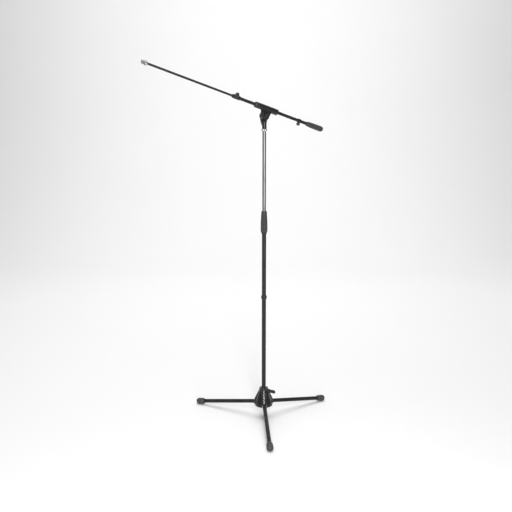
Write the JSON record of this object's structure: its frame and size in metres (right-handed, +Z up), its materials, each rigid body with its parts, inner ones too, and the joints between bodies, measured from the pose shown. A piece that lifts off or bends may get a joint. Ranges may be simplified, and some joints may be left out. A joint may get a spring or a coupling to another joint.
{
  "type": "boom microphone stand",
  "caption": "Floor microphone stand with a folding tripod base, a telescopic mast with a twist clutch and a tilting, counterweighted telescopic boom",
  "frame": {"origin": "on the mast axis at floor level", "axes": "+Z up along the mast, -X towards the boom's microphone end, +Y across the boom"},
  "size_m": [0.9007, 0.6291, 1.5901],
  "materials": {
    "cast_metal": "gloss",
    "black_tube": "satin",
    "chrome": "satin",
    "steel": "satin",
    "plastic": "satin",
    "textured_grip": "matte",
    "rubber": "matte"
  },
  "bodies": {
    "base": {"base_hub": "cast_metal", "hub_bush": "plastic", "leg_hinge_pins": "steel"},
    "base_knob": {"base_clamp_screw": "steel", "base_clamp_t_bar": "plastic"},
    "leg_1": {"leg_fitting_1": "plastic", "leg_tube_1": "black_tube", "leg_foot_1": "rubber"},
    "leg_2": {"leg_fitting_2": "plastic", "leg_tube_2": "black_tube", "leg_foot_2": "rubber"},
    "leg_3": {"leg_fitting_3": "plastic", "leg_tube_3": "black_tube", "leg_foot_3": "rubber"},
    "mast": {"mast_end_flange": "plastic", "mast_lower_tube": "black_tube", "mast_middle_tube": "black_tube", "tube_joint_collar": "cast_metal", "clutch_body": "cast_metal", "clutch_collet": "plastic"},
    "clutch": {"clutch_grip": "textured_grip"},
    "guide": {"upper_guide_bush": "plastic"},
    "upper": {"mast_upper_tube": "chrome", "mast_top_stud": "steel", "swivel_neck": "cast_metal", "swivel_nut": "steel", "swivel_friction_washer": "plastic"},
    "lock_ring": {"swivel_lock_ring": "chrome"},
    "holder": {"boom_holder": "cast_metal", "boom_clamp_bush": "plastic"},
    "swivel_screw": {"swivel_bolt": "steel", "swivel_t_bar": "plastic"},
    "clamp_nut": {"boom_clamp_nut": "plastic"},
    "boom": {"boom_tube": "black_tube", "rod_clamp_sleeve": "cast_metal", "counterweight_slug": "steel", "counterweight_cover": "textured_grip"},
    "rod_screw": {"rod_clamp_screw": "steel", "rod_clamp_knob": "plastic"},
    "rod": {"boom_rod": "black_tube", "rod_guide_bush": "plastic", "tip_thread_adapter": "chrome"},
    "tip_ring": {"tip_lock_ring": "chrome"},
    "stop": {"stop_collar": "cast_metal"},
    "stop_screw": {"stop_thumbscrew": "plastic"}
  },
  "joints": [
    {"name": "mast_lift", "type": "slide", "parent": "base", "child": "mast", "axis": [0, 0, 1], "range_m": [0, 0.025]},
    {"name": "base_clamp_turn", "type": "hinge", "parent": "base", "child": "base_knob", "pos_m": [0, 0, 0.131], "axis": [0.6252, -0.7804, 0], "continuous": true},
    {"name": "leg_1_fold", "type": "hinge", "parent": "base", "child": "leg_1", "pos_m": [-0.00945, -0.02422, 0.07318], "axis": [0.9317, -0.3633, 0], "range_deg": [0, 81]},
    {"name": "leg_2_fold", "type": "hinge", "parent": "base", "child": "leg_2", "pos_m": [0.0257, 0.00393, 0.07318], "axis": [-0.1513, 0.9885, 0], "range_deg": [0, 81]},
    {"name": "leg_3_fold", "type": "hinge", "parent": "base", "child": "leg_3", "pos_m": [-0.01626, 0.02029, 0.07318], "axis": [-0.7804, -0.6252, 0], "range_deg": [0, 81]},
    {"name": "clutch_twist", "type": "hinge", "parent": "mast", "child": "clutch", "pos_m": [0, 0, 0.92], "axis": [0, 0, 1], "range_deg": [-90, 0]},
    {"name": "height", "type": "slide", "parent": "mast", "child": "guide", "axis": [0, 0, 1], "range_m": [-0.33, 0.26]},
    {"name": "pan", "type": "hinge", "parent": "guide", "child": "upper", "pos_m": [0, 0, 0.64], "axis": [0, 0, 1], "continuous": true},
    {"name": "lock_ring_turn", "type": "hinge", "parent": "upper", "child": "lock_ring", "pos_m": [0, 0, 1.3205], "axis": [0, 0, 1], "continuous": true},
    {"name": "boom_tilt", "type": "hinge", "parent": "upper", "child": "holder", "pos_m": [0, 0, 1.381], "axis": [0, 1, 0], "range_deg": [-100, 60]},
    {"name": "swivel_clamp_turn", "type": "hinge", "parent": "upper", "child": "swivel_screw", "pos_m": [0, 0, 1.381], "axis": [0, -1, 0], "continuous": true},
    {"name": "boom_clamp_twist", "type": "hinge", "parent": "holder", "child": "clamp_nut", "pos_m": [-0.03801, 0, 1.42731], "axis": [-0.9553, 0, 0.2957], "range_deg": [-180, 0]},
    {"name": "boom_slide", "type": "slide", "parent": "holder", "child": "boom", "axis": [-0.9553, 0, 0.2957], "range_m": [-0.065, 0.055]},
    {"name": "rod_clamp_turn", "type": "hinge", "parent": "boom", "child": "rod_screw", "pos_m": [-0.13544, 0, 1.45747], "axis": [0.1388, -0.8829, 0.4485], "continuous": true},
    {"name": "rod_slide", "type": "slide", "parent": "boom", "child": "rod", "axis": [-0.9553, 0, 0.2957], "range_m": [-0.25, 0.06]},
    {"name": "tip_ring_turn", "type": "hinge", "parent": "rod", "child": "tip_ring", "pos_m": [-0.52042, 0, 1.57664], "axis": [-0.9553, 0, 0.2957], "continuous": true},
    {"name": "stop_slide", "type": "slide", "parent": "boom", "child": "stop", "axis": [-0.9553, 0, 0.2957], "range_m": [-0.024, 0.04]},
    {"name": "stop_screw_turn", "type": "hinge", "parent": "stop", "child": "stop_screw", "pos_m": [0.1712, 0, 1.36255], "axis": [-0.2957, 0, -0.9553], "continuous": true}
  ],
  "couplings": [
    {"joint": "leg_1_fold", "follows": "mast_lift", "rad_per_m": 55.85},
    {"joint": "leg_2_fold", "follows": "mast_lift", "rad_per_m": 55.85},
    {"joint": "leg_3_fold", "follows": "mast_lift", "rad_per_m": 55.85}
  ]
}
